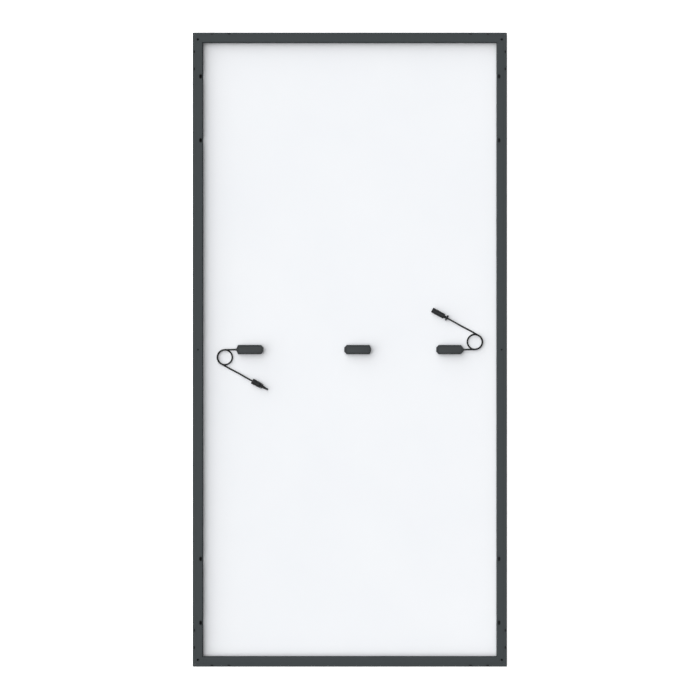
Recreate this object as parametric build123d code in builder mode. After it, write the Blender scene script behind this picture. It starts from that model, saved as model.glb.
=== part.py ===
from build123d import *
import os
from math import atan2, cos, pi, radians, sin, tan

# A framed photovoltaic module with half-cut cells, lying glass down.
# Millimetres. X across, Y along, Z from the front (glass) lip of the frame to its rear flange.
# The origin is the centre of the module, on the plane of the front lip.

# ---------------------------------------------------------------- frame
WIDTH = 1038.0
LENGTH = 2094.0
DEPTH = 35.0
WALL = 1.5
LIP_WIDTH = 9.0
LEDGE_Z = 7.5
LEDGE_WIDTH = 31.2
WEB_FACE = 12.0
FLANGE_WIDTH = 35.0
FLANGE_T = 1.8
SLOPE_INSET = 31.4
SLOPE_Z = 30.6
RETURN_Z = 27.5
CREASE_RADIUS = 0.5
FRONT_EDGE_RADIUS = 1.0
REAR_EDGE_RADIUS = 2.0
MITRE_GAP = 0.2
HOLE_DEPTH = 2 * FLANGE_T
LINE_INSET = 10.4
LINE_WIDTH = 0.8
LINE_DEPTH = 0.25

SLOT_LENGTH = 14.0
SLOT_WIDTH = 9.0
SLOT_INSET = 26.5
SLOT_ROWS = (691.0, 902.0)
GROUND_HOLE_RADIUS = 2.75
GROUND_HOLE_INSET = 17.5
CORNER_HOLE_RADIUS = 3.8
CORNER_HOLE_INSET = 17.3
CORNER_HOLE_END = 22.8
DRAIN_LENGTH = 8.5
DRAIN_WIDTH = 3.8
DRAIN_ENDS = (63.5, 120.2)
DRAIN_INSET_LONG = 5.8
DRAIN_INSET_SHORT = 4.6

KEY_CLEARANCE = 0.2
KEY_REACH = 55.0
KEY_TOOTH = 0.5
KEY_TEETH = 6
KEY_TOOTH_PITCH = 6.0

# ---------------------------------------------------------------- laminate, from the front to the back
EDGE_CLEARANCE = 1.0
SEAL_T = 0.6
GLASS_T = 3.2
FRONT_FILM_T = 0.4
REAR_FILM_T = 0.8
WIRE_T = 0.2
CELL_T = 0.2
BACKSHEET_T = 0.35
LAMINATE_EDGE = WALL + EDGE_CLEARANCE
GLASS_Z = WALL + SEAL_T
FRONT_FILM_Z = GLASS_Z + GLASS_T
WIRE_Z = FRONT_FILM_Z + FRONT_FILM_T
CELL_Z = WIRE_Z + WIRE_T
BACKSHEET_Z = WIRE_Z + REAR_FILM_T
REAR_Z = BACKSHEET_Z + BACKSHEET_T
SEAL_REACH_FRONT = 8.5
SEAL_REACH_REAR = 12.0

COLUMNS = 6
CELLS_PER_HALF = 12
CELL_WIDTH = 166.0
CELL_HEIGHT = CELL_WIDTH / 2
CELL_CORNER = 8.3
COLUMN_PITCH = CELL_WIDTH + 2.0
CELL_PITCH = CELL_HEIGHT + 1.8
MIDDLE_GAP = 18.0
STRING_LENGTH = (CELLS_PER_HALF - 1) * CELL_PITCH + CELL_HEIGHT
STRING_MIDDLE = (MIDDLE_GAP + STRING_LENGTH) / 2

WIRES = 9
WIRE_WIDTH = 1.0
WIRE_PITCH = CELL_WIDTH / WIRES
BUS_WIDTH = 5.0
BUS_END = MIDDLE_GAP / 2 + STRING_LENGTH + 8.0
BUS_BREAK = 4.0
WIRE_SPAN = (WIRES - 1) * WIRE_PITCH + WIRE_WIDTH
TAB_OFFSET = 5.0
TAB_T = 0.4
TAB_WIDTH = 4.6
TAB_CLEARANCE = 0.3
SECTION_EDGES = (-2 * COLUMN_PITCH, 0.0, 2 * COLUMN_PITCH)

# ---------------------------------------------------------------- junction boxes
BOX_LENGTH = 89.0
BOX_WIDTH = 31.0
BOX_WALL = 2.0
BOX_FLOOR = 1.8
BASE_HEIGHT = 20.5
LID_T = 1.6
PANEL_LENGTH = 74.0
PANEL_WIDTH = 22.0
PANEL_T = 1.1
PANEL_TAPER = 35
POINT_LENGTH = 5.0
POINT_FLAT = 3.0
ROUND_CUT_X = 8.0
ROUND_CUT_Y = 8.5
OUTLINE_RADIUS = 3.0
PAD_T = 0.8
PAD_INSET = 1.0
WINDOW_LENGTH = 22.0
WINDOW_WIDTH = 10.0
RIM_CLEARANCE = 0.2
RIM_T = 1.2
RIM_DEPTH = 2.5
HOOK_X = 22.0
HOOK_WIDTH = 10.0
HOOK_DEPTH = 0.8
HOOK_LENGTH = 6.0
PLATE_WIDTH = 12.0
PLATE_T = 1.0
PLATE_SHORT = 8.6
PLATE_LONG = 18.0
BARREL_WEB = 2.0
DIODE_LENGTH = 9.0
DIODE_WIDTH = 10.0
DIODE_HEIGHT = 4.4
LEG_WIDTH = 3.0
LEG_T = 0.6
LEG_Z = 1.6
POTTING_T = 1.6
PAD_Z = REAR_Z
BASE_Z = PAD_Z + PAD_T
FLOOR_Z = BASE_Z + BOX_FLOOR
LID_Z = BASE_Z + BASE_HEIGHT
PLATE_TOP = FLOOR_Z + PLATE_T

# name, centre, the section edge it bridges, side of the pointed end, side of the output lead
BOXES = (
    ("left", -330.0, SECTION_EDGES[0], -1, -1),
    ("centre", 26.0, SECTION_EDGES[1], 1, 0),
    ("right", 330.0, SECTION_EDGES[2], 0, 1),
)

# ---------------------------------------------------------------- output leads
CABLE_RADIUS = 2.6
CABLE_FIT = 0.03
EXIT_Z = REAR_Z + 7.2
GLAND_RADIUS = 4.1
GLAND_NOSE_RADIUS = 3.1
GLAND_NOSE = 3.5
BARREL_RADIUS = 2.3
BARREL_LENGTH = 8.0
LOOP_CENTRE = (413.4, 25.5)
LOOP_RADIUS = 24.6
LOW_Z = REAR_Z + CABLE_RADIUS
HIGH_Z = LOW_Z + 2 * CABLE_RADIUS
BEND_SHARE = 0.45
RUN_HEADING = -28.9
CONNECTOR_Z = REAR_Z + 9.5
CONNECTOR_START = 116.8

# right-hand lead from the crimp barrel to the top of the loop
EXIT_POINTS = ((366.6, 0.0, EXIT_Z), (382.0, 0.0, EXIT_Z), (397.9, 0.45, HIGH_Z), (413.4, 0.9, HIGH_Z))

# right-hand lead from the bottom of the loop: distance along its heading and offset to the left of it
RUN_STEPS = ((0.0, 0.0), (31.0, -0.6), (63.0, 0.5), (97.0, 0.0), (CONNECTOR_START, 0.0))
RUN_LIFT = 0.7

# ---------------------------------------------------------------- plug and socket, from the cable end
PLUG_RADIUS = 9.3
PLUG_NUT_LENGTH = 13.0
PLUG_NUT_CHAMFER = 1.2
PLUG_NUT_FLOOR = 4.5
PLUG_NECK_START = 5.0
PLUG_NECK_RADIUS = 6.8
PLUG_NECK_FIT = 0.1
PLUG_NUT_GAP = 0.2
PLUG_BODY_RADIUS = 8.9
PLUG_TAPER_START = 27.0
PLUG_TAPER_END = 31.0
PLUG_NOSE_START = 40.0
PLUG_SHOULDER_RADIUS = 7.5
PLUG_NOSE_RADIUS = 3.9
PLUG_TIP_START = 50.0
PLUG_TIP_RADIUS = 3.1
PLUG_END = 60.0
CONTACT_RADIUS = 1.5
CONTACT_BORE = 1.6
CONTACT_RECESS = 1.0
CONTACT_GAP = 0.1
RING_X = 44.5
RING_MINOR = 0.8
RING_MAJOR = 3.8
RING_GROOVE_RADIUS = 2.95
RING_GROOVE_WIDTH = 2.0
LATCH_END = 39.0
LATCH_T = 1.4
LATCH_HEIGHT = 4.4
RIB_RADIUS = 0.55
RIBS = 18

SOCKET_FLANGE_RADIUS = 9.3
SOCKET_FLANGE_LENGTH = 5.5
SOCKET_FLANGE_CHAMFER = 0.8
SOCKET_HUB_RADIUS = 4.2
SOCKET_BODY_START = 12.5
SOCKET_BODY_RADIUS = 8.5
SOCKET_BODY_CHAMFER = 1.0
SOCKET_END = 58.0
SOCKET_END_CHAMFER = 0.6
SOCKET_MOUTH_RADIUS = 4.0
SOCKET_MOUTH_DEPTH = 10.5
SOCKET_BORE_RADIUS = 3.2
SOCKET_BORE_DEPTH = 10.0
WINDOW_START = 44.0
WINDOW_END = 51.0
WINDOW_DEPTH = 1.6

CABLE_BORE = CABLE_RADIUS + CABLE_FIT
PLUG_INSERT = 10.2
SOCKET_INSERT = 14.0
CRIMP_LENGTH = 9.0
CRIMP_RADIUS = 2.3
CRIMP_BORE = 2.4

SIDES = (("long_rail_left", (1, 0)), ("long_rail_right", (-1, 0)),
         ("short_rail_top", (0, -1)), ("short_rail_bottom", (0, 1)))


def save(block, label):
    """Name a finished piece and write its file."""
    block.part.label = label
    export_step(block.part, f"parts/{label}.step")


# ================================================================ frame

def side_plane(inward):
    """Plane across one side of the frame: x points inward, y points to the rear."""
    step_in = Vector(*inward)
    reach = WIDTH / 2 if inward[0] else LENGTH / 2
    return Plane(origin=step_in * -reach, x_dir=step_in, z_dir=step_in.cross(Vector(0, 0, 1)))


def side_reach(inward):
    """Half the length of one side of the frame."""
    return LENGTH / 2 if inward[0] else WIDTH / 2


def cut_mitres(inward):
    """Trim both ends of the current side at 45 degrees, with half the joint gap each."""
    plane = side_plane(inward)
    for end in (-1, 1):
        along = plane.z_dir * end
        corner = plane.origin + along * (side_reach(inward) - MITRE_GAP / 2)
        split(bisect_by=Plane(origin=corner, z_dir=along + Vector(*inward)), keep=Keep.BOTTOM)


def rail(inward):
    """One extruded side of the frame: glass groove, ledge, closed chamber and rear flange."""
    ledge_top = LEDGE_Z + WALL
    flange_low = DEPTH - FLANGE_T
    slope = atan2(DEPTH - SLOPE_Z, FLANGE_WIDTH - SLOPE_INSET)
    under_slope = SLOPE_INSET - FLANGE_T * tan(slope / 2)
    behind_return = SLOPE_Z - FLANGE_T * tan((pi / 2 - slope) / 2)
    return_face = FLANGE_WIDTH - FLANGE_T
    with BuildPart() as body:
        with BuildSketch(side_plane(inward)) as section:
            with BuildLine():
                Polyline(
                    (0, 0), (LIP_WIDTH, 0), (LIP_WIDTH, WALL), (WALL, WALL), (WALL, LEDGE_Z),
                    (LEDGE_WIDTH, LEDGE_Z), (LEDGE_WIDTH, ledge_top), (WEB_FACE, ledge_top),
                    (WEB_FACE, flange_low), (under_slope, flange_low), (return_face, behind_return),
                    (return_face, RETURN_Z), (FLANGE_WIDTH, RETURN_Z), (FLANGE_WIDTH, SLOPE_Z),
                    (SLOPE_INSET, DEPTH), (LINE_INSET + LINE_WIDTH, DEPTH),
                    (LINE_INSET + LINE_WIDTH / 2, DEPTH - LINE_DEPTH), (LINE_INSET, DEPTH),
                    (0, DEPTH), close=True)
            make_face()
            for crease in ((SLOPE_INSET, DEPTH), (FLANGE_WIDTH, SLOPE_Z)):
                fillet(section.vertices().sort_by_distance(crease)[0], radius=CREASE_RADIUS)
            for corner, radius in (((0, 0), FRONT_EDGE_RADIUS), ((0, DEPTH), REAR_EDGE_RADIUS)):
                fillet(section.vertices().sort_by_distance(corner)[0], radius=radius)
            with Locations((WEB_FACE / 2, (ledge_top + flange_low) / 2)):
                Rectangle(WEB_FACE - 2 * WALL, flange_low - ledge_top, mode=Mode.SUBTRACT)
        extrude(amount=side_reach(inward), both=True)
        cut_mitres(inward)
        with BuildSketch(Plane.XY.offset(DEPTH)):
            flange_holes(inward)
        extrude(amount=-HOLE_DEPTH, mode=Mode.SUBTRACT)
    return body


def flange_holes(inward):
    """Holes punched through the rear flange of one side."""
    if inward[0]:
        edge = -inward[0] * WIDTH / 2
        for end in (-1, 1):
            with Locations(*[(edge + inward[0] * SLOT_INSET, end * row) for row in SLOT_ROWS]):
                SlotOverall(SLOT_LENGTH, SLOT_WIDTH, rotation=90)
            with Locations((edge + inward[0] * CORNER_HOLE_INSET, end * (LENGTH / 2 - CORNER_HOLE_END))):
                Circle(CORNER_HOLE_RADIUS)
            rows = [end * (LENGTH / 2 - drain) for drain in DRAIN_ENDS]
            with Locations(*[(edge + inward[0] * DRAIN_INSET_LONG, row) for row in rows]):
                SlotOverall(DRAIN_LENGTH, DRAIN_WIDTH, rotation=90)
        with Locations((edge + inward[0] * GROUND_HOLE_INSET, 0)):
            Circle(GROUND_HOLE_RADIUS)
    else:
        edge = -inward[1] * LENGTH / 2
        for end in (-1, 1):
            columns = [end * (WIDTH / 2 - drain) for drain in DRAIN_ENDS]
            with Locations(*[(column, edge + inward[1] * DRAIN_INSET_SHORT) for column in columns]):
                SlotOverall(DRAIN_LENGTH, DRAIN_WIDTH)


def corner_key_block():
    """Toothed angle keys that join the rails inside their chambers, one in each corner."""
    low = LEDGE_Z + WALL + KEY_CLEARANCE
    height = DEPTH - FLANGE_T - KEY_CLEARANCE - low
    outer = WALL + KEY_CLEARANCE
    leg = WEB_FACE - 2 * WALL - 2 * KEY_CLEARANCE
    with BuildPart() as keys:
        for x_side in (-1, 1):
            for y_side in (-1, 1):
                corner_x = x_side * (WIDTH / 2 - outer)
                corner_y = y_side * (LENGTH / 2 - outer)
                with BuildSketch(Plane.XY.offset(low)):
                    with Locations((corner_x - x_side * leg / 2, corner_y - y_side * KEY_REACH / 2)):
                        Rectangle(leg, KEY_REACH)
                    with Locations((corner_x - x_side * KEY_REACH / 2, corner_y - y_side * leg / 2)):
                        Rectangle(KEY_REACH, leg)
                    for tooth in range(KEY_TEETH):
                        along = KEY_REACH - (tooth + 1) * KEY_TOOTH_PITCH
                        with Locations((corner_x, corner_y - y_side * along),
                                       (corner_x - x_side * along, corner_y)):
                            Rectangle(2 * KEY_TOOTH, 2 * KEY_TOOTH, rotation=45, mode=Mode.SUBTRACT)
                extrude(amount=height)
    return keys


def seal_strip(inward):
    """Mitred strip of sealant that wraps one edge of the laminate in the frame's groove."""
    with BuildPart() as strip:
        with BuildSketch(side_plane(inward)):
            with BuildLine():
                Polyline((WALL, WALL), (SEAL_REACH_FRONT, WALL), (SEAL_REACH_FRONT, GLASS_Z),
                         (LAMINATE_EDGE, GLASS_Z), (LAMINATE_EDGE, REAR_Z),
                         (SEAL_REACH_REAR, REAR_Z), (SEAL_REACH_REAR, LEDGE_Z),
                         (WALL, LEDGE_Z), close=True)
            make_face()
        extrude(amount=side_reach(inward), both=True)
        cut_mitres(inward)
    return strip


def edge_seal_block():
    """The four strips of sealant, one along each side."""
    strips = [seal_strip(inward) for _, inward in SIDES]
    with BuildPart() as seal:
        for strip in strips:
            add(strip.part)
    return seal


# ================================================================ laminate

def sheet(z, thickness):
    """Plain layer of the laminate, as wide and long as the glass."""
    with BuildPart() as layer:
        with BuildSketch(Plane.XY.offset(z)):
            Rectangle(WIDTH - 2 * LAMINATE_EDGE, LENGTH - 2 * LAMINATE_EDGE)
        extrude(amount=thickness)
    return layer


def half_string_outlines(column, half):
    """Half cells of one column in one half of the module; each has two clipped corners."""
    right = CELL_WIDTH / 2
    top = CELL_HEIGHT / 2
    with Locations(((column - (COLUMNS - 1) / 2) * COLUMN_PITCH, half * STRING_MIDDLE)):
        with GridLocations(0, CELL_PITCH, 1, CELLS_PER_HALF):
            Polygon((-right, -top), (right, -top), (right, top - CELL_CORNER), (right - CELL_CORNER, top),
                    (CELL_CORNER - right, top), (-right, top - CELL_CORNER), align=None)


def wire_outlines():
    """Flat wires that run along the front of every column, from bus to bus."""
    start = BUS_WIDTH / 2
    for half in (-1, 1):
        with Locations((0, half * (start + BUS_END) / 2)):
            with GridLocations(COLUMN_PITCH, 0, COLUMNS, 1):
                with GridLocations(WIRE_PITCH, 0, WIRES, 1):
                    Rectangle(WIRE_WIDTH, BUS_END - start)


def bus_outlines():
    """Cross ribbons: one for each pair of columns at both ends, four segments across the middle."""
    for half in (-1, 1):
        with Locations(*[(edge, half * (BUS_END + BUS_WIDTH / 2)) for edge in SECTION_EDGES]):
            Rectangle(COLUMN_PITCH + WIRE_SPAN, BUS_WIDTH)
    outer = (COLUMNS - 1) / 2 * COLUMN_PITCH + WIRE_SPAN / 2
    stops = (-outer - BUS_BREAK / 2,) + SECTION_EDGES + (outer + BUS_BREAK / 2,)
    for start, end in zip(stops, stops[1:]):
        with Locations(((start + end) / 2, 0)):
            Rectangle(end - start - BUS_BREAK, BUS_WIDTH)


def tab_outlines(clearance=0.0):
    """The two lead-out tabs at each break in the middle bus."""
    places = [(edge + side * TAB_OFFSET, 0) for edge in SECTION_EDGES for side in (-1, 1)]
    with Locations(*places):
        Rectangle(TAB_T + 2 * clearance, TAB_WIDTH + 2 * clearance)


def rear_film_block():
    """Rear encapsulant film, moulded around the cells, wires, ribbons and tabs."""
    with BuildPart() as film:
        add(sheet(WIRE_Z, REAR_FILM_T).part)
        with BuildSketch(Plane.XY.offset(WIRE_Z)):
            wire_outlines()
            bus_outlines()
        extrude(amount=WIRE_T, mode=Mode.SUBTRACT)
        with BuildSketch(Plane.XY.offset(CELL_Z)):
            for half in (-1, 1):
                for column in range(COLUMNS):
                    half_string_outlines(column, half)
        extrude(amount=CELL_T, mode=Mode.SUBTRACT)
        with BuildSketch(Plane.XY.offset(CELL_Z)):
            tab_outlines()
        extrude(amount=BACKSHEET_Z - CELL_Z, mode=Mode.SUBTRACT)
    return film


# ================================================================ junction boxes

def box_outline(point_side, inset=0.0):
    """Outline of a junction box about its own centre; a pointed end slopes to a short flat."""
    half = BOX_LENGTH / 2
    rim = BOX_WIDTH / 2
    corners = []
    for side in (1, -1):
        if side == point_side:
            end = [(side * (half - POINT_LENGTH), rim), (side * half, POINT_FLAT)]
        else:
            end = [(side * (half - ROUND_CUT_X), rim), (side * half, rim - ROUND_CUT_Y)]
        lower = [(x, -y) for x, y in reversed(end)]
        corners += end + lower if side > 0 else [(x, -y) for x, y in end] + [(x, -y) for x, y in lower]
    with BuildSketch(mode=Mode.PRIVATE) as outline:
        with BuildLine():
            Polyline(*corners, close=True)
        make_face()
        fillet(outline.vertices(), radius=OUTLINE_RADIUS)
        if inset:
            offset(amount=-inset)
    return outline.sketch


def box_pad(centre, edge, point_side):
    """Adhesive pad between the backsheet and the box, open around the lead-out tabs."""
    with BuildPart() as pad:
        with BuildSketch(Plane.XY.offset(PAD_Z)):
            with Locations((centre, 0)):
                add(box_outline(point_side, PAD_INSET))
            with Locations((edge, 0)):
                Rectangle(WINDOW_LENGTH, WINDOW_WIDTH, mode=Mode.SUBTRACT)
        extrude(amount=PAD_T)
    return pad


def box_base(centre, edge, point_side, lead_side):
    """Open tray with a floor window for the tabs, latch recesses and a bore for the gland."""
    with BuildPart() as base:
        with BuildSketch(Plane((centre, 0, BASE_Z))):
            add(box_outline(point_side))
        extrude(amount=BASE_HEIGHT)
        with BuildSketch(Plane((centre, 0, FLOOR_Z))):
            add(box_outline(point_side, BOX_WALL))
        extrude(amount=BASE_HEIGHT, mode=Mode.SUBTRACT)
        with BuildSketch(Plane((edge, 0, BASE_Z))):
            Rectangle(WINDOW_LENGTH, WINDOW_WIDTH)
        extrude(amount=BOX_FLOOR, mode=Mode.SUBTRACT)
        with BuildSketch(Plane((centre, 0, LID_Z))):
            with GridLocations(2 * HOOK_X, BOX_WIDTH, 2, 2):
                Rectangle(HOOK_WIDTH, 2 * HOOK_DEPTH)
        extrude(amount=-HOOK_LENGTH, mode=Mode.SUBTRACT)
        if lead_side:
            wall_x = centre + lead_side * (BOX_LENGTH / 2 - 2 * BOX_WALL)
            with BuildSketch(Plane(origin=(wall_x, 0, EXIT_Z), z_dir=(lead_side, 0, 0))):
                Circle(GLAND_RADIUS + CABLE_FIT)
            extrude(amount=3 * BOX_WALL, mode=Mode.SUBTRACT)
    return base


def box_lid(centre, point_side):
    """Snap lid: plate with a raised panel, an inner rim and four outer latch tabs."""
    with BuildPart() as lid:
        with BuildSketch(Plane((centre, 0, LID_Z))):
            add(box_outline(point_side))
        plate = extrude(amount=LID_T)
        top_edges = plate.faces().sort_by(Axis.Z)[-1].edges()
        chamfer(top_edges, length=LID_T / 3)
        with BuildSketch(Plane((centre, 0, LID_Z + LID_T))):
            RectangleRounded(PANEL_LENGTH, PANEL_WIDTH, OUTLINE_RADIUS)
        extrude(amount=PANEL_T, taper=PANEL_TAPER)
        with BuildSketch(Plane((centre, 0, LID_Z))):
            add(box_outline(point_side, BOX_WALL + RIM_CLEARANCE))
            add(box_outline(point_side, BOX_WALL + RIM_CLEARANCE + RIM_T), mode=Mode.SUBTRACT)
        extrude(amount=-RIM_DEPTH)
        with BuildSketch(Plane((centre, 0, LID_Z))):
            with GridLocations(2 * HOOK_X, BOX_WIDTH - HOOK_DEPTH, 2, 2):
                Rectangle(HOOK_WIDTH - 2 * RIM_CLEARANCE, HOOK_DEPTH)
        extrude(amount=-HOOK_LENGTH + RIM_CLEARANCE)
    return lid


def plate_spans(edge, lead_side):
    """Ends of the short and the long contact plate; the long one carries the diode."""
    long_side = -lead_side or 1
    tab_face = TAB_OFFSET + TAB_T / 2
    short = sorted((edge - long_side * tab_face, edge - long_side * (tab_face + PLATE_SHORT)))
    long = sorted((edge + long_side * tab_face, edge + long_side * (tab_face + PLATE_LONG)))
    return short, long, long_side


def box_terminals(centre, edge, lead_side):
    """Two contact plates soldered to the tabs; the outer boxes add a crimp barrel for the lead."""
    short, long, _ = plate_spans(edge, lead_side)
    with BuildPart() as terminals:
        with BuildSketch(Plane.XY.offset(FLOOR_Z)):
            for start, end in (short, long):
                with Locations(((start + end) / 2, 0)):
                    Rectangle(end - start, PLATE_WIDTH)
        extrude(amount=PLATE_T)
        if lead_side:
            barrel_end = centre + lead_side * (BOX_LENGTH / 2 - 4 * BOX_WALL)
            barrel_start = barrel_end - lead_side * BARREL_LENGTH
            strap_start = (short[0] if lead_side < 0 else short[1]) - lead_side * BARREL_WEB
            web_end = barrel_start + lead_side * BARREL_LENGTH / 2
            with BuildSketch(Plane.XY.offset(FLOOR_Z)):
                with Locations(((strap_start + web_end) / 2, 0)):
                    Rectangle(abs(web_end - strap_start), LEG_WIDTH)
            extrude(amount=PLATE_T)
            with BuildSketch(Plane.XY.offset(PLATE_TOP)):
                with Locations((web_end - lead_side * BARREL_WEB / 2, 0)):
                    Rectangle(BARREL_WEB, LEG_WIDTH)
            extrude(amount=EXIT_Z - PLATE_TOP)
            with BuildSketch(Plane(origin=(barrel_start, 0, EXIT_Z), z_dir=(lead_side, 0, 0))):
                Circle(BARREL_RADIUS)
            extrude(amount=BARREL_LENGTH)
    return terminals


def box_diode(edge, lead_side):
    """Bypass diode: a moulded body on the long plate and a cranked leg to the short one."""
    short, long, long_side = plate_spans(edge, lead_side)
    body_x = sum(long) / 2
    near_face = body_x - long_side * DIODE_LENGTH / 2
    foot_x = sum(short) / 2
    with BuildPart() as diode:
        with BuildSketch(Plane((body_x, 0, PLATE_TOP))):
            Rectangle(DIODE_LENGTH, DIODE_WIDTH)
        body = extrude(amount=DIODE_HEIGHT)
        chamfer(body.faces().sort_by(Axis.Z)[-1].edges(), length=LEG_T)
        with BuildSketch(Plane(((near_face + foot_x) / 2, 0, PLATE_TOP + LEG_Z))):
            Rectangle(abs(near_face - foot_x) + LEG_T, LEG_WIDTH)
        extrude(amount=LEG_T)
        with BuildSketch(Plane((foot_x, 0, PLATE_TOP))):
            Rectangle(LEG_T, LEG_WIDTH)
        extrude(amount=LEG_Z + LEG_T)
    return diode


def box_potting(centre, point_side, inserts):
    """Silicone poured over the plates and around whatever else reaches the floor."""
    with BuildPart() as potting:
        with BuildSketch(Plane((centre, 0, FLOOR_Z))):
            add(box_outline(point_side, BOX_WALL))
        extrude(amount=POTTING_T)
        with BuildSketch(Plane.XY.offset(FLOOR_Z)):
            tab_outlines()
        extrude(amount=PLATE_T, mode=Mode.SUBTRACT)
        for insert in inserts:
            add(insert.part, mode=Mode.SUBTRACT)
    return potting


def cable_gland(centre, lead_side):
    """Rubber bush in the end wall: inner flange, sleeve and tapered nose around the lead."""
    wall_x = centre + lead_side * BOX_LENGTH / 2
    inner_x = wall_x - lead_side * BOX_WALL
    with BuildPart() as gland:
        with BuildSketch(Plane(origin=(inner_x, 0, EXIT_Z), z_dir=(-lead_side, 0, 0))):
            Circle(GLAND_RADIUS)
        extrude(amount=BOX_WALL)
        with BuildSketch(Plane(origin=(inner_x, 0, EXIT_Z), z_dir=(lead_side, 0, 0))):
            Circle(GLAND_RADIUS)
        extrude(amount=BOX_WALL)
        with BuildSketch(Plane(origin=(wall_x, 0, EXIT_Z), z_dir=(lead_side, 0, 0))):
            Circle(GLAND_RADIUS)
        nose_x = wall_x + lead_side * GLAND_NOSE
        with BuildSketch(Plane(origin=(nose_x, 0, EXIT_Z), z_dir=(lead_side, 0, 0))):
            Circle(GLAND_NOSE_RADIUS)
        loft()
        with BuildSketch(Plane(origin=(inner_x, 0, EXIT_Z), z_dir=(lead_side, 0, 0))):
            Circle(CABLE_BORE)
        extrude(amount=2 * (BOX_WALL + GLAND_NOSE), both=True, mode=Mode.SUBTRACT)
    return gland


# ================================================================ output leads

def turned(point, side):
    """Turn a point of the right-hand lead half a turn about Z for the left-hand one."""
    x, y, z = point
    return (side * x, side * y, z)


def bend_radii(points):
    """Radius of each bend: as large as the two straight runs beside it allow."""
    radii = []
    for before, at, after in zip(points, points[1:], points[2:]):
        run_in = Vector(*at) - Vector(*before)
        run_out = Vector(*after) - Vector(*at)
        half_turn = radians(run_in.get_angle(run_out)) / 2
        radii.append(BEND_SHARE * min(run_in.length, run_out.length) / tan(half_turn))
    return radii


def cable(points, label):
    """Round cable along straight runs joined by tangent arcs."""
    radii = bend_radii(points)
    with BuildPart() as tube:
        with BuildLine() as route:
            FilletPolyline(*points, radius=radii)
        with BuildSketch(Plane(origin=route.line @ 0, z_dir=route.line % 0)):
            Circle(CABLE_RADIUS)
        sweep()
    length = sum(edge.length for edge in route.edges())
    expected = pi * CABLE_RADIUS ** 2 * length
    print(label, "length", round(length, 1), "bend radii", [round(r) for r in radii],
          "volume ratio", round(tube.part.volume / expected, 4))
    return tube


def exit_route(side):
    """From the crimp barrel, out through the gland and on to the top of the loop."""
    return [turned(point, side) for point in EXIT_POINTS]


def run_frame():
    """Start of the straight run and its two directions, for the right-hand lead."""
    heading = radians(180 + RUN_HEADING)
    start = Vector(LOOP_CENTRE[0] + LOOP_RADIUS * cos(heading - radians(90)),
                   LOOP_CENTRE[1] + LOOP_RADIUS * sin(heading - radians(90)))
    return start, Vector(cos(heading), sin(heading))


def run_route(side, insert):
    """From the bottom of the loop, along the backsheet and up into the connector."""
    start, along = run_frame()
    across = Vector(-along.Y, along.X)
    heights = (LOW_Z, LOW_Z, LOW_Z + RUN_LIFT, CONNECTOR_Z, CONNECTOR_Z)
    places = [start + along * distance + across * sideways for distance, sideways in RUN_STEPS]
    places[-1] += along * insert
    return [turned((place.X, place.Y, height), side) for place, height in zip(places, heights)]


def cable_loop(side):
    """Ring that holds the stacked turns of the lead, resting on the backsheet."""
    with BuildPart() as ring:
        centre = turned((*LOOP_CENTRE, 0), side)
        with BuildSketch(Plane(origin=centre, x_dir=(1, 0, 0), z_dir=(0, -1, 0))):
            with Locations((LOOP_RADIUS, (LOW_Z + HIGH_Z) / 2)):
                SlotOverall(HIGH_Z - LOW_Z + 2 * CABLE_RADIUS, 2 * CABLE_RADIUS, rotation=90)
        revolve(axis=Axis(centre, (0, 0, 1)))
    return ring


# ================================================================ connectors

def connector_planes(side):
    """Section plane (x along the connector) and cross plane, both at its cable end."""
    start, along = run_frame()
    place = start + along * CONNECTOR_START
    origin = turned((place.X, place.Y, CONNECTOR_Z), side)
    axis = Vector(side * along.X, side * along.Y, 0)
    section = Plane(origin=origin, x_dir=axis, z_dir=axis.cross(Vector(0, 0, 1)))
    cross = Plane(origin=origin, z_dir=axis)
    return section, cross


def turn_outline(section, outline):
    """Revolve a stepped outline of (distance, radius) corners about the connector's axis."""
    with BuildSketch(section) as profile:
        with BuildLine():
            Polyline(*outline, close=True)
        make_face()
    revolve(profile.sketch, axis=Axis(section.origin, section.x_dir))


def cut_ribs(cross, radius, length):
    """Grip flutes around a nut."""
    with BuildSketch(cross) as flutes:
        with PolarLocations(radius + RIB_RADIUS / 3, RIBS):
            Circle(RIB_RADIUS)
    extrude(flutes.sketch, amount=length, mode=Mode.SUBTRACT)


def plug_nut_block(section, cross):
    """Clamping nut on the cable end of the plug."""
    shell = PLUG_NECK_RADIUS + PLUG_NECK_FIT
    with BuildPart() as nut:
        turn_outline(section, ((0, CABLE_BORE), (0, PLUG_RADIUS - PLUG_NUT_CHAMFER),
                               (PLUG_NUT_CHAMFER, PLUG_RADIUS), (PLUG_NUT_LENGTH, PLUG_RADIUS),
                               (PLUG_NUT_LENGTH, shell), (PLUG_NUT_FLOOR, shell),
                               (PLUG_NUT_FLOOR, CABLE_BORE)))
        cut_ribs(cross, PLUG_RADIUS, PLUG_NUT_LENGTH)
    return nut


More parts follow.
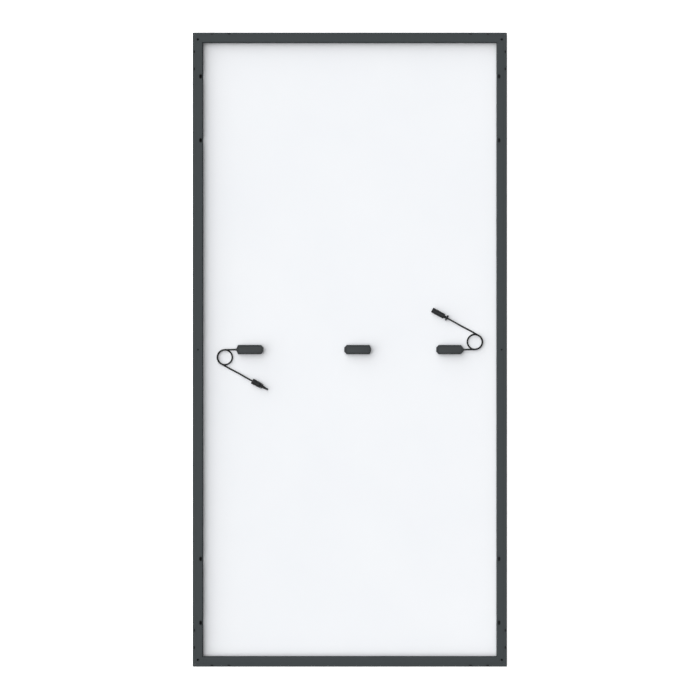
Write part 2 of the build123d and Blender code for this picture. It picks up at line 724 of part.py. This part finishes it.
def plug_body_block(section, cross):
    """Plug housing with a stepped insulating nose and two latch arms."""
    collar = PLUG_NUT_LENGTH + PLUG_NUT_GAP
    shoulder = PLUG_SHOULDER_RADIUS - LATCH_T
    groove_start = RING_X - RING_GROOVE_WIDTH / 2
    groove_end = RING_X + RING_GROOVE_WIDTH / 2
    crimp_end = PLUG_INSERT + CRIMP_LENGTH
    with BuildPart() as body:
        turn_outline(section, (
            (PLUG_NECK_START, CABLE_BORE), (PLUG_NECK_START, PLUG_NECK_RADIUS), (collar, PLUG_NECK_RADIUS),
            (collar, PLUG_BODY_RADIUS), (PLUG_TAPER_START, PLUG_BODY_RADIUS), (PLUG_TAPER_END, shoulder),
            (PLUG_NOSE_START, shoulder), (PLUG_NOSE_START, PLUG_NOSE_RADIUS),
            (groove_start, PLUG_NOSE_RADIUS), (groove_start, RING_GROOVE_RADIUS),
            (groove_end, RING_GROOVE_RADIUS), (groove_end, PLUG_NOSE_RADIUS),
            (PLUG_TIP_START, PLUG_NOSE_RADIUS), (PLUG_TIP_START, PLUG_TIP_RADIUS),
            (PLUG_END, PLUG_TIP_RADIUS), (PLUG_END, CONTACT_BORE),
            (crimp_end, CONTACT_BORE), (crimp_end, CABLE_BORE)))
        for hand in (-1, 1):
            with BuildSketch(Plane(origin=section.origin + section.z_dir * hand * PLUG_SHOULDER_RADIUS,
                                   x_dir=section.x_dir, z_dir=section.z_dir)):
                with Locations(((PLUG_TAPER_START + LATCH_END) / 2, 0)):
                    Rectangle(LATCH_END - PLUG_TAPER_START, LATCH_HEIGHT)
            extrude(amount=LATCH_T / 2, both=True)
    return body


def plug_contact_block(section):
    """Socket contact: crimp barrel around the conductor and a slim sleeve in the nose."""
    end = PLUG_END - CONTACT_RECESS
    crimp_end = PLUG_INSERT + CRIMP_LENGTH - CONTACT_GAP
    with BuildPart() as contact:
        turn_outline(section, ((PLUG_INSERT, 0), (PLUG_INSERT, CRIMP_RADIUS), (crimp_end, CRIMP_RADIUS),
                               (crimp_end, CONTACT_RADIUS), (end, CONTACT_RADIUS), (end, 0)))
    return contact


def plug_ring_block(section):
    """Sealing ring in the groove of the nose."""
    with BuildPart() as ring:
        with BuildSketch(section):
            with Locations((RING_X, RING_MAJOR)):
                Circle(RING_MINOR)
        revolve(axis=Axis(section.origin, section.x_dir))
    return ring


def socket_nut_block(section, cross):
    """Flanged clamping nut with a slim hub, on the cable end of the socket."""
    rim = SOCKET_FLANGE_RADIUS - SOCKET_FLANGE_CHAMFER
    with BuildPart() as nut:
        turn_outline(section, ((0, CABLE_BORE), (0, rim), (SOCKET_FLANGE_CHAMFER, SOCKET_FLANGE_RADIUS),
                               (SOCKET_FLANGE_LENGTH - SOCKET_FLANGE_CHAMFER, SOCKET_FLANGE_RADIUS),
                               (SOCKET_FLANGE_LENGTH, rim), (SOCKET_FLANGE_LENGTH, SOCKET_HUB_RADIUS),
                               (SOCKET_BODY_START, SOCKET_HUB_RADIUS), (SOCKET_BODY_START, CABLE_BORE)))
        cut_ribs(cross, SOCKET_FLANGE_RADIUS, SOCKET_FLANGE_LENGTH)
    return nut


def socket_body_block(section):
    """Socket housing: stepped mouth for the plug's nose and two latch windows."""
    mouth_x = SOCKET_END - SOCKET_MOUTH_DEPTH
    bore_x = mouth_x - SOCKET_BORE_DEPTH
    with BuildPart() as body:
        turn_outline(section, (
            (SOCKET_BODY_START, CABLE_BORE), (SOCKET_BODY_START, SOCKET_BODY_RADIUS - SOCKET_BODY_CHAMFER),
            (SOCKET_BODY_START + SOCKET_BODY_CHAMFER, SOCKET_BODY_RADIUS),
            (SOCKET_END - SOCKET_END_CHAMFER, SOCKET_BODY_RADIUS),
            (SOCKET_END, SOCKET_BODY_RADIUS - SOCKET_END_CHAMFER), (SOCKET_END, SOCKET_MOUTH_RADIUS),
            (mouth_x, SOCKET_MOUTH_RADIUS), (mouth_x, SOCKET_BORE_RADIUS),
            (bore_x, SOCKET_BORE_RADIUS), (bore_x, CRIMP_BORE),
            (SOCKET_INSERT, CRIMP_BORE), (SOCKET_INSERT, CABLE_BORE)))
        for hand in (-1, 1):
            with BuildSketch(Plane(origin=section.origin + section.z_dir * hand * SOCKET_BODY_RADIUS,
                                   x_dir=section.x_dir, z_dir=section.z_dir)):
                with Locations(((WINDOW_START + WINDOW_END) / 2, 0)):
                    Rectangle(WINDOW_END - WINDOW_START, LATCH_HEIGHT)
            extrude(amount=WINDOW_DEPTH, both=True, mode=Mode.SUBTRACT)
    return body


def socket_contact_block(section):
    """Pin contact and its crimp barrel, seated behind the mouth."""
    start = SOCKET_INSERT
    end = SOCKET_END - SOCKET_MOUTH_DEPTH - SOCKET_BORE_DEPTH
    with BuildPart() as contact:
        turn_outline(section, ((start, 0), (start, CRIMP_RADIUS), (start + CRIMP_LENGTH, CRIMP_RADIUS),
                               (start + CRIMP_LENGTH, CONTACT_RADIUS), (end, CONTACT_RADIUS), (end, 0)))
    return contact


# ================================================================ build and export

def build_frame():
    for label, inward in SIDES:
        save(rail(inward), label)
    save(corner_key_block(), "corner_keys")
    save(edge_seal_block(), "edge_seal")


def build_laminate():
    save(sheet(GLASS_Z, GLASS_T), "front_glass")
    save(sheet(FRONT_FILM_Z, FRONT_FILM_T), "front_encapsulant")
    save(rear_film_block(), "rear_encapsulant")
    number = 0
    for half in (1, -1):
        for column in range(COLUMNS):
            number += 1
            with BuildPart() as string:
                with BuildSketch(Plane.XY.offset(CELL_Z)):
                    half_string_outlines(column, half)
                extrude(amount=CELL_T)
            save(string, f"cell_string_{number:02d}")
    with BuildPart() as wires:
        with BuildSketch(Plane.XY.offset(WIRE_Z)):
            wire_outlines()
        extrude(amount=WIRE_T)
    save(wires, "string_wires")
    with BuildPart() as buses:
        with BuildSketch(Plane.XY.offset(WIRE_Z)):
            bus_outlines()
        extrude(amount=WIRE_T)
    save(buses, "bus_ribbons")
    with BuildPart() as tabs:
        with BuildSketch(Plane.XY.offset(CELL_Z)):
            tab_outlines()
        extrude(amount=PLATE_TOP - CELL_Z)
    save(tabs, "lead_out_tabs")
    with BuildPart() as backsheet:
        add(sheet(BACKSHEET_Z, BACKSHEET_T).part)
        with BuildSketch(Plane.XY.offset(BACKSHEET_Z)):
            tab_outlines(TAB_CLEARANCE)
        extrude(amount=BACKSHEET_T, mode=Mode.SUBTRACT)
    save(backsheet, "backsheet")


def build_boxes():
    for name, centre, edge, point_side, lead_side in BOXES:
        terminals = box_terminals(centre, edge, lead_side)
        diode = box_diode(edge, lead_side)
        save(box_pad(centre, edge, point_side), f"box_pad_{name}")
        save(box_base(centre, edge, point_side, lead_side), f"box_base_{name}")
        save(box_lid(centre, point_side), f"box_lid_{name}")
        save(terminals, f"box_terminals_{name}")
        save(diode, f"bypass_diode_{name}")
        inserts = [terminals, diode]
        if lead_side:
            gland = cable_gland(centre, lead_side)
            save(gland, f"cable_gland_{name}")
            inserts.append(gland)
        save(box_potting(centre, point_side, inserts), f"box_potting_{name}")


def build_leads():
    for name, side, insert in (("left", -1, PLUG_INSERT), ("right", 1, SOCKET_INSERT)):
        save(cable(exit_route(side), f"{name} exit"), f"cable_exit_{name}")
        save(cable_loop(side), f"cable_loop_{name}")
        save(cable(run_route(side, insert), f"{name} run"), f"cable_run_{name}")
    section, cross = connector_planes(-1)
    save(plug_nut_block(section, cross), "plug_nut")
    save(plug_body_block(section, cross), "plug_body")
    save(plug_contact_block(section), "plug_contact")
    save(plug_ring_block(section), "plug_seal_ring")
    section, cross = connector_planes(1)
    save(socket_nut_block(section, cross), "socket_nut")
    save(socket_body_block(section), "socket_body")
    save(socket_contact_block(section), "socket_contact")


os.makedirs("parts", exist_ok=True)
build_frame()
build_laminate()
build_boxes()
build_leads()
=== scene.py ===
"""A framed solar panel lying glass down, seen straight from behind, with its two output leads."""

import math

import bpy
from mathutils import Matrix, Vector


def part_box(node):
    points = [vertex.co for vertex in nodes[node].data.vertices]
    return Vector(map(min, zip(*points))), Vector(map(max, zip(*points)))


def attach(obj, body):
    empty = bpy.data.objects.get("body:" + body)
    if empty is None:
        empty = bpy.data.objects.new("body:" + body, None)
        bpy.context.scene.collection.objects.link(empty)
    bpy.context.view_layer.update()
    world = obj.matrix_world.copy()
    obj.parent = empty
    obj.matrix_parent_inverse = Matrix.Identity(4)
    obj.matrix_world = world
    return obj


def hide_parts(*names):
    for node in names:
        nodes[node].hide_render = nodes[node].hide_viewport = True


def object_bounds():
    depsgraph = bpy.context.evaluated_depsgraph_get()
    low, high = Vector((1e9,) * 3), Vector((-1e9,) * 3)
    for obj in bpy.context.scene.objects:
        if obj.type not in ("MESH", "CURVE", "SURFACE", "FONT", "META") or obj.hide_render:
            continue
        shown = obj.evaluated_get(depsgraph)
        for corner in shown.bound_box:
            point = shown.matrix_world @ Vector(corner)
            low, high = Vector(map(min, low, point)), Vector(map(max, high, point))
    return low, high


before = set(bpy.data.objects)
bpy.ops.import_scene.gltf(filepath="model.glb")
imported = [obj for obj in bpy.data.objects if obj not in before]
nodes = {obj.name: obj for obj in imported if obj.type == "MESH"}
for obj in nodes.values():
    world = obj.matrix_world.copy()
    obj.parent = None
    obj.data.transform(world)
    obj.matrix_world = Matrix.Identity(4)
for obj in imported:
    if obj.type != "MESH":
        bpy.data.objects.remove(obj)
cad_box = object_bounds()

# ---------------------------------------------------------------- sizes, metres
CABLE_DIAMETER = 0.0052
LOOP_CENTRE = (0.4134, 0.0255)
LOOP_RADIUS = 0.0246
LOOP_TURN = 511
LOOP_STEP = 22.5
LOOP_FIRST = 9.0
LOOP_HIGH_UNTIL = 190
LOOP_LOW_FROM = 315
RUN_HEADING = 180 - 28.9
CONNECTOR_START = 0.1168
PLUG_INSERT = 0.0102
SOCKET_INSERT = 0.014
REAR_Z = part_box("backsheet")[1].z
LOW_Z = REAR_Z + CABLE_DIAMETER / 2
HIGH_Z = LOW_Z + CABLE_DIAMETER
EXIT_Z = REAR_Z + 0.0072
EXIT_ROUTE = ((0.3666, 0.0, EXIT_Z), (0.3820, 0.0, EXIT_Z), (0.3979, 0.00045, HIGH_Z))
# along the straight run, to its side, and above where the cable lies on the backsheet
RUN_ROUTE = ((0.012, 0.0001, 0.0), (0.031, -0.0006, 0.0), (0.063, 0.0005, 0.0007))
CONNECTOR_APPROACH = 0.097

CAMERA_DISTANCE = 14.0
VIEW_WIDTH = 2.311
VIEW_SHIFT = (0.0006, -0.0013)
FINGER_PITCH = 0.0018
WAVE_NODE_FACTOR = 20
FLOOR_SIZE = 60
FLOOR_DROP = 0.0005
FLOOR_GLOW = 0.7
WORLD_STRENGTH = 0.121
POINTINESS_FLAT = 0.51
POINTINESS_SHARP = 0.56


# ================================================================ camera

def add_camera():
    """Looks straight down on the rear of the module, from far away through a long lens."""
    low, high = cad_box
    data = bpy.data.cameras.new("camera")
    data.sensor_width = 36
    data.lens = data.sensor_width * (CAMERA_DISTANCE - high[2]) / VIEW_WIDTH
    data.clip_end = 100
    camera = bpy.data.objects.new("camera", data)
    camera.location = ((low[0] + high[0]) / 2 + VIEW_SHIFT[0], (low[1] + high[1]) / 2 + VIEW_SHIFT[1],
                       CAMERA_DISTANCE)
    bpy.context.scene.collection.objects.link(camera)
    bpy.context.scene.camera = camera


# ================================================================ output leads

def turned(points, side):
    """Points of the right-hand lead, turned half a turn about Z for the left-hand one."""
    return [(side * x, side * y, z) for x, y, z in points]


def loop_height(turn):
    """Height of the lead's centreline in its loop: the first pass lies on the second one."""
    if turn <= LOOP_HIGH_UNTIL:
        return HIGH_Z
    if turn >= LOOP_LOW_FROM:
        return LOW_Z
    blend = (turn - LOOP_HIGH_UNTIL) / (LOOP_LOW_FROM - LOOP_HIGH_UNTIL)
    return HIGH_Z + (LOW_Z - HIGH_Z) * blend * blend * (3 - 2 * blend)


def loop_points():
    """Control points of the turns; they stand outside the circle that the spline then follows."""
    step = math.radians(LOOP_STEP)
    # in the middle of a span, a quadratic spline weighs three neighbours 1 : 6 : 1
    reach = LOOP_RADIUS * 8 / (6 + 2 * math.cos(step))
    points = []
    turn = LOOP_FIRST
    while turn < LOOP_TURN:
        angle = math.radians(turn - 90)
        x = LOOP_CENTRE[0] + reach * math.cos(angle)
        y = LOOP_CENTRE[1] + reach * math.sin(angle)
        points.append((x, y, loop_height(turn)))
        turn += LOOP_STEP
    return points


def lead_points(axis_z, insert):
    """The whole right-hand lead: out of its box, round the loop and along to the connector."""
    heading = math.radians(RUN_HEADING)
    along = Vector((math.cos(heading), math.sin(heading)))
    across = Vector((-along.y, along.x))
    start = Vector(LOOP_CENTRE) - across * LOOP_RADIUS
    points = [*EXIT_ROUTE, *loop_points()]
    run = [(distance, sideways, LOW_Z + lift) for distance, sideways, lift in RUN_ROUTE]
    run += [(CONNECTOR_APPROACH, 0, axis_z), (CONNECTOR_START + insert, 0, axis_z)]
    for distance, sideways, height in run:
        place = start + along * distance + across * sideways
        points.append((place.x, place.y, height))
    return points


def add_lead(name, side, connector_nodes, insert):
    """One output lead as a single smooth cord that stands for its three CAD solids."""
    low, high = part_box(connector_nodes[0])
    axis_z = (low.z + high.z) / 2
    points = turned(lead_points(axis_z, insert), side)
    curve = bpy.data.curves.new(f"lead_{name}", "CURVE")
    curve.dimensions = "3D"
    spline = curve.splines.new("NURBS")
    spline.points.add(len(points) - 1)
    for point, place in zip(spline.points, points):
        point.co = (*place, 1)
    spline.order_u = 3
    spline.use_endpoint_u = True
    spline.resolution_u = 12
    curve.bevel_depth = CABLE_DIAMETER / 2
    curve.bevel_resolution = 6
    curve.use_fill_caps = True
    lead = bpy.data.objects.new(f"lead_{name}", curve)
    bpy.context.scene.collection.objects.link(lead)
    lead.data.materials.append(cable_sheath())
    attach(lead, "root")
    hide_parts(f"cable_exit_{name}", f"cable_loop_{name}", f"cable_run_{name}")


# ================================================================ materials

class Surface:
    """A node material with a Principled shader, built up a step at a time."""

    def __init__(self, name, roughness, metallic=0.0, specular=0.5):
        self.material = bpy.data.materials.new(name)
        self.material.use_nodes = True
        self.tree = self.material.node_tree
        self.shader = self.tree.nodes["Principled BSDF"]
        self.shader.inputs["Roughness"].default_value = roughness
        self.shader.inputs["Metallic"].default_value = metallic
        self.shader.inputs["Specular IOR Level"].default_value = specular
        self.coords = self.tree.nodes.new("ShaderNodeTexCoord").outputs["Object"]

    def link(self, output, target):
        self.tree.links.new(output, target)

    def scaled(self, stretch):
        """Object coordinates stretched by a vector, for grain that runs one way."""
        mapping = self.tree.nodes.new("ShaderNodeMapping")
        mapping.inputs["Scale"].default_value = stretch
        self.link(self.coords, mapping.inputs["Vector"])
        return mapping.outputs["Vector"]

    def noise(self, scale, detail=3.0, vector=None):
        node = self.tree.nodes.new("ShaderNodeTexNoise")
        node.inputs["Scale"].default_value = scale
        node.inputs["Detail"].default_value = detail
        self.link(vector or self.coords, node.inputs["Vector"])
        return node.outputs["Fac"]

    def cells(self, scale):
        node = self.tree.nodes.new("ShaderNodeTexVoronoi")
        node.inputs["Scale"].default_value = scale
        self.link(self.coords, node.inputs["Vector"])
        return node.outputs["Distance"]

    def ramp(self, value, stops):
        """Colours along a value; stops are (position, colour)."""
        node = self.tree.nodes.new("ShaderNodeValToRGB")
        elements = node.color_ramp.elements
        while len(elements) < len(stops):
            elements.new(0.5)
        for element, (position, colour) in zip(elements, stops):
            element.position = position
            element.color = (*colour, 1)
        self.link(value, node.inputs["Fac"])
        return node.outputs["Color"]

    def span(self, value, low, high):
        """Map a 0 to 1 value to a range."""
        node = self.tree.nodes.new("ShaderNodeMapRange")
        node.inputs["To Min"].default_value = low
        node.inputs["To Max"].default_value = high
        self.link(value, node.inputs["Value"])
        return node.outputs["Result"]

    def mix(self, factor, first, second, blend="MIX"):
        node = self.tree.nodes.new("ShaderNodeMix")
        node.data_type = "RGBA"
        node.blend_type = blend
        for index, value in ((0, factor), (6, first), (7, second)):
            socket = node.inputs[index]
            if isinstance(value, (int, float)):
                socket.default_value = value
            elif isinstance(value, tuple):
                socket.default_value = (*value, 1)
            else:
                self.link(value, socket)
        return node.outputs[2]

    def colour(self, output):
        self.link(output, self.shader.inputs["Base Color"])

    def rough(self, output):
        self.link(output, self.shader.inputs["Roughness"])

    def bump(self, height, distance, strength=1.0):
        """Stack a bump of a real height, in metres, on those already there."""
        node = self.tree.nodes.new("ShaderNodeBump")
        node.inputs["Distance"].default_value = distance
        node.inputs["Strength"].default_value = strength
        self.link(height, node.inputs["Height"])
        target = self.shader.inputs["Normal"]
        if target.links:
            self.link(target.links[0].from_socket, node.inputs["Normal"])
        self.link(node.outputs["Normal"], target)

    def openness(self, reach):
        """How open a place is within a reach in metres: low in holes and deep channels."""
        node = self.tree.nodes.new("ShaderNodeAmbientOcclusion")
        node.inputs["Distance"].default_value = reach
        return node.outputs["AO"]

    def gloss_share(self, head_on):
        """Share of light that a clear pane throws back: a little head on, all of it at grazing angles."""
        facing = self.tree.nodes.new("ShaderNodeLayerWeight")
        facing.inputs["Blend"].default_value = 0.5
        steep = self.tree.nodes.new("ShaderNodeMath")
        steep.operation = "POWER"
        steep.inputs[1].default_value = 5.0
        self.link(facing.outputs["Facing"], steep.inputs[0])
        return self.span(steep.outputs["Value"], head_on, 1.0)

    def edge_wear(self):
        """Mask that rises on convex edges, from the mesh's own pointiness."""
        geometry = self.tree.nodes.new("ShaderNodeNewGeometry")
        node = self.tree.nodes.new("ShaderNodeMapRange")
        node.inputs["From Min"].default_value = POINTINESS_FLAT
        node.inputs["From Max"].default_value = POINTINESS_SHARP
        self.link(geometry.outputs["Pointiness"], node.inputs["Value"])
        return node.outputs["Result"]


def anodised_frame(name, along):
    """Dark slate anodised aluminium, faint die lines along it, with painted shade darkening its holes and
    channels.
    """
    surface = Surface(name, roughness=0.55, metallic=0.15, specular=0.25)
    stretch = (2200, 6, 2200) if along == "y" else (6, 2200, 2200)
    lines = surface.noise(1.0, 2.0, surface.scaled(stretch))
    cloud = surface.noise(9.0, 4.0)
    tone = surface.ramp(cloud, [(0.3, (0.021, 0.0275, 0.030)), (0.7, (0.026, 0.033, 0.036))])
    lined = surface.mix(surface.span(lines, 0.0, 0.35), tone, (0.034, 0.041, 0.044))
    worn = surface.mix(surface.span(surface.edge_wear(), 0.0, 0.3), lined, (0.075, 0.085, 0.09))
    # painted shade: an occlusion mask darkens the holes, slots and channels nearly to black
    painted_recess_shade = surface.ramp(surface.openness(0.035), [(0.3, (0.05, 0.05, 0.05)), (0.9, (1.0, 1.0, 1.0))])
    surface.colour(surface.mix(1.0, worn, painted_recess_shade, "MULTIPLY"))
    surface.rough(surface.span(cloud, 0.48, 0.62))
    surface.bump(lines, 0.00002, 0.6)
    surface.bump(surface.noise(1400, 2.0), 0.00001, 0.5)
    return surface.material


def mill_metal():
    surface = Surface("mill_aluminium", roughness=0.35, metallic=1.0)
    grain = surface.noise(600, 3.0)
    surface.colour(surface.ramp(grain, [(0.3, (0.45, 0.46, 0.47)), (0.7, (0.58, 0.59, 0.60))]))
    surface.rough(surface.span(grain, 0.28, 0.42))
    surface.bump(grain, 0.00003)
    return surface.material


def silicone(name, dark, light):
    surface = Surface(name, roughness=0.6)
    cloud = surface.noise(60, 4.0)
    surface.colour(surface.ramp(cloud, [(0.3, dark), (0.7, light)]))
    surface.rough(surface.span(cloud, 0.5, 0.7))
    surface.bump(surface.noise(220, 3.0), 0.0001)
    return surface.material


def solar_glass():
    """Tempered glass: clear, with a gloss that grows at low angles, and a fine rolled texture."""
    surface = Surface("solar_glass", roughness=0.05, metallic=1.0)
    cloud = surface.noise(4.0, 2.0)
    surface.colour(surface.ramp(cloud, [(0.0, (0.80, 0.88, 0.90)), (1.0, (0.84, 0.91, 0.93))]))
    surface.rough(surface.span(cloud, 0.03, 0.06))
    surface.bump(surface.noise(900, 2.0), 0.000004, 0.3)
    surface.link(surface.gloss_share(0.02), surface.shader.inputs["Alpha"])
    return surface.material


def clear_film():
    """Encapsulant, bonded to the glass and the cells, so almost nothing of it shows."""
    surface = Surface("encapsulant_film", roughness=0.15)
    surface.shader.inputs["Alpha"].default_value = 0.02
    cloud = surface.noise(20.0, 3.0)
    surface.colour(surface.ramp(cloud, [(0.0, (0.60, 0.62, 0.61)), (1.0, (0.66, 0.67, 0.67))]))
    surface.rough(surface.span(cloud, 0.1, 0.2))
    surface.bump(cloud, 0.000005)
    return surface.material


def silicon_cell():
    """Dark blue cell with fine finger lines across it and a faint crystal mottle."""
    surface = Surface("silicon_cell", roughness=0.3, specular=0.2)
    mottle = surface.noise(14.0, 5.0)
    body = surface.ramp(mottle, [(0.3, (0.006, 0.010, 0.028)), (0.7, (0.012, 0.020, 0.050))])
    wave = surface.tree.nodes.new("ShaderNodeTexWave")
    wave.bands_direction = "Y"
    wave.inputs["Scale"].default_value = 2 * math.pi / (WAVE_NODE_FACTOR * FINGER_PITCH)
    surface.link(surface.coords, wave.inputs["Vector"])
    fingers = surface.ramp(wave.outputs["Fac"], [(0.90, (0.0, 0.0, 0.0)), (0.98, (1.0, 1.0, 1.0))])
    surface.colour(surface.mix(fingers, body, (0.055, 0.065, 0.095)))
    surface.rough(surface.span(mottle, 0.22, 0.38))
    surface.bump(surface.noise(2500, 2.0), 0.000003)
    return surface.material


def tinned_copper():
    surface = Surface("tinned_copper", roughness=0.3, metallic=1.0)
    grain = surface.noise(500, 3.0)
    surface.colour(surface.ramp(grain, [(0.3, (0.50, 0.50, 0.51)), (0.7, (0.66, 0.66, 0.67))]))
    surface.rough(surface.span(grain, 0.22, 0.4))
    surface.bump(grain, 0.00002)
    return surface.material


def white_backsheet():
    """White laminated film, matte, with a faint orange peel and very soft clouding."""
    surface = Surface("white_backsheet", roughness=0.55, specular=0.35)
    cloud = surface.noise(3.0, 3.0)
    surface.colour(surface.ramp(cloud, [(0.3, (0.885, 0.905, 0.935)), (0.7, (0.905, 0.922, 0.948))]))
    surface.rough(surface.span(surface.noise(40, 3.0), 0.48, 0.6))
    surface.bump(surface.noise(350, 3.0), 0.00002, 0.5)
    return surface.material


def moulded(name, dark, light, roughness=(0.42, 0.56)):
    """Moulded plastic: fine spark-eroded grain, slight clouding and paler rubbed edges."""
    surface = Surface(name, roughness=sum(roughness) / 2, specular=0.3)
    cloud = surface.noise(45, 4.0)
    tone = surface.ramp(cloud, [(0.3, dark), (0.7, light)])
    rubbed = tuple(min(1.0, channel * 1.7 + 0.01) for channel in light)
    surface.colour(surface.mix(surface.span(surface.edge_wear(), 0.0, 0.45), tone, rubbed))
    surface.rough(surface.span(cloud, *roughness))
    surface.bump(surface.cells(2600), 0.00002, 0.6)
    return surface.material


def rubber(name):
    surface = Surface(name, roughness=0.6)
    cloud = surface.noise(150, 3.0)
    surface.colour(surface.ramp(cloud, [(0.3, (0.010, 0.011, 0.012)), (0.7, (0.018, 0.019, 0.020))]))
    surface.rough(surface.span(cloud, 0.5, 0.7))
    surface.bump(surface.noise(900, 3.0), 0.00003)
    return surface.material


def cable_sheath():
    """Black sheath, satin, with faint extrusion waviness and scuffs."""
    if "cable_sheath" in bpy.data.materials:
        return bpy.data.materials["cable_sheath"]
    surface = Surface("cable_sheath", roughness=0.5, specular=0.25)
    scuff = surface.noise(120, 5.0)
    surface.colour(surface.ramp(scuff, [(0.35, (0.003, 0.0035, 0.004)), (0.75, (0.007, 0.008, 0.009))]))
    surface.rough(surface.span(scuff, 0.42, 0.6))
    surface.bump(surface.noise(450, 3.0), 0.00004, 0.6)
    return surface.material


def paint(material, *names):
    """Give a material to CAD nodes."""
    for name in names:
        for slot in nodes[name].material_slots:
            slot.material = material


def paint_all():
    paint(anodised_frame("frame_long", "y"), "long_rail_left", "long_rail_right")
    paint(anodised_frame("frame_short", "x"), "short_rail_top", "short_rail_bottom")
    paint(mill_metal(), "corner_keys")
    paint(silicone("edge_silicone", (0.62, 0.62, 0.60), (0.70, 0.70, 0.68)), "edge_seal",
          "box_pad_left", "box_pad_centre", "box_pad_right")
    paint(silicone("potting_silicone", (0.24, 0.25, 0.26), (0.32, 0.33, 0.34)),
          "box_potting_left", "box_potting_centre", "box_potting_right")
    paint(solar_glass(), "front_glass")
    paint(clear_film(), "front_encapsulant", "rear_encapsulant")
    paint(silicon_cell(), *[name for name in nodes if name.startswith("cell_string_")])
    paint(tinned_copper(), "string_wires", "bus_ribbons", "lead_out_tabs", "plug_contact", "socket_contact",
          "box_terminals_left", "box_terminals_centre", "box_terminals_right")
    paint(white_backsheet(), "backsheet")
    paint(moulded("box_plastic", (0.016, 0.019, 0.021), (0.021, 0.025, 0.027)),
          "box_base_left", "box_base_centre", "box_base_right")
    paint(moulded("lid_plastic", (0.018, 0.022, 0.024), (0.024, 0.028, 0.030)),
          "box_lid_left", "box_lid_centre", "box_lid_right")
    paint(moulded("diode_body", (0.008, 0.008, 0.009), (0.014, 0.014, 0.015)),
          "bypass_diode_left", "bypass_diode_centre", "bypass_diode_right")
    paint(rubber("black_rubber"), "cable_gland_left", "cable_gland_right", "plug_seal_ring")
    paint(moulded("connector_plastic", (0.003, 0.004, 0.005), (0.007, 0.008, 0.009), (0.44, 0.58)),
          "plug_nut", "plug_body", "socket_nut", "socket_body")


def let_rays_past(*names):
    """Rendered rays skip these clear films, because their faces coincide with the cells'."""
    for name in names:
        for kind in ("camera", "diffuse", "glossy", "transmission", "shadow"):
            setattr(nodes[name], "visible_" + kind, False)


# ================================================================ studio

def add_floor():
    """Pale floor; from below it is clear and casts no shadow, so that the glass side shows."""
    bpy.ops.mesh.primitive_plane_add(size=FLOOR_SIZE, location=(0, 0, cad_box[0][2] - FLOOR_DROP))
    floor = bpy.context.object
    floor.name = "floor"
    material = bpy.data.materials.new("floor_white")
    material.use_nodes = True
    tree = material.node_tree
    shader = tree.nodes["Principled BSDF"]
    shader.inputs["Base Color"].default_value = (0.94, 0.94, 0.94, 1)
    shader.inputs["Roughness"].default_value = 0.9
    shader.inputs["Specular IOR Level"].default_value = 0.1
    shader.inputs["Emission Color"].default_value = (1, 1, 1, 1)
    shader.inputs["Emission Strength"].default_value = FLOOR_GLOW
    geometry = tree.nodes.new("ShaderNodeNewGeometry")
    clear = tree.nodes.new("ShaderNodeBsdfTransparent")
    choose = tree.nodes.new("ShaderNodeMixShader")
    tree.links.new(geometry.outputs["Backfacing"], choose.inputs["Fac"])
    tree.links.new(shader.outputs["BSDF"], choose.inputs[1])
    tree.links.new(clear.outputs["BSDF"], choose.inputs[2])
    tree.links.new(choose.outputs["Shader"], tree.nodes["Material Output"].inputs["Surface"])
    floor.data.materials.append(material)
    floor.visible_shadow = False


def add_sun(name, azimuth, elevation, spread, strength):
    """A broad far light; azimuth is where it stands, anticlockwise from +X."""
    data = bpy.data.lights.new(name, "SUN")
    data.energy = strength
    data.angle = math.radians(spread)
    sun = bpy.data.objects.new(name, data)
    a, e = math.radians(azimuth), math.radians(elevation)
    towards = Vector((math.cos(a) * math.cos(e), math.sin(a) * math.cos(e), math.sin(e)))
    sun.rotation_mode = "QUATERNION"
    sun.rotation_quaternion = towards.to_track_quat("Z", "Y")
    bpy.context.scene.collection.objects.link(sun)


def add_studio():
    scene = bpy.context.scene
    scene.view_settings.view_transform = "Standard"
    world = bpy.data.worlds.new("studio")
    world.use_nodes = True
    background = world.node_tree.nodes["Background"]
    background.inputs["Color"].default_value = (1, 1, 1, 1)
    background.inputs["Strength"].default_value = WORLD_STRENGTH
    scene.world = world
    add_sun("key", azimuth=155, elevation=28, spread=120, strength=3.52)
    add_sun("overhead", azimuth=0, elevation=90, spread=50, strength=0.89)
    add_sun("front_fill", azimuth=-60, elevation=-70, spread=120, strength=2.0)
    add_floor()


add_camera()
add_lead("left", -1, ["plug_nut", "plug_body", "plug_contact", "plug_seal_ring"], PLUG_INSERT)
add_lead("right", 1, ["socket_nut", "socket_body", "socket_contact"], SOCKET_INSERT)
paint_all()
let_rays_past("front_encapsulant", "rear_encapsulant")
add_studio()
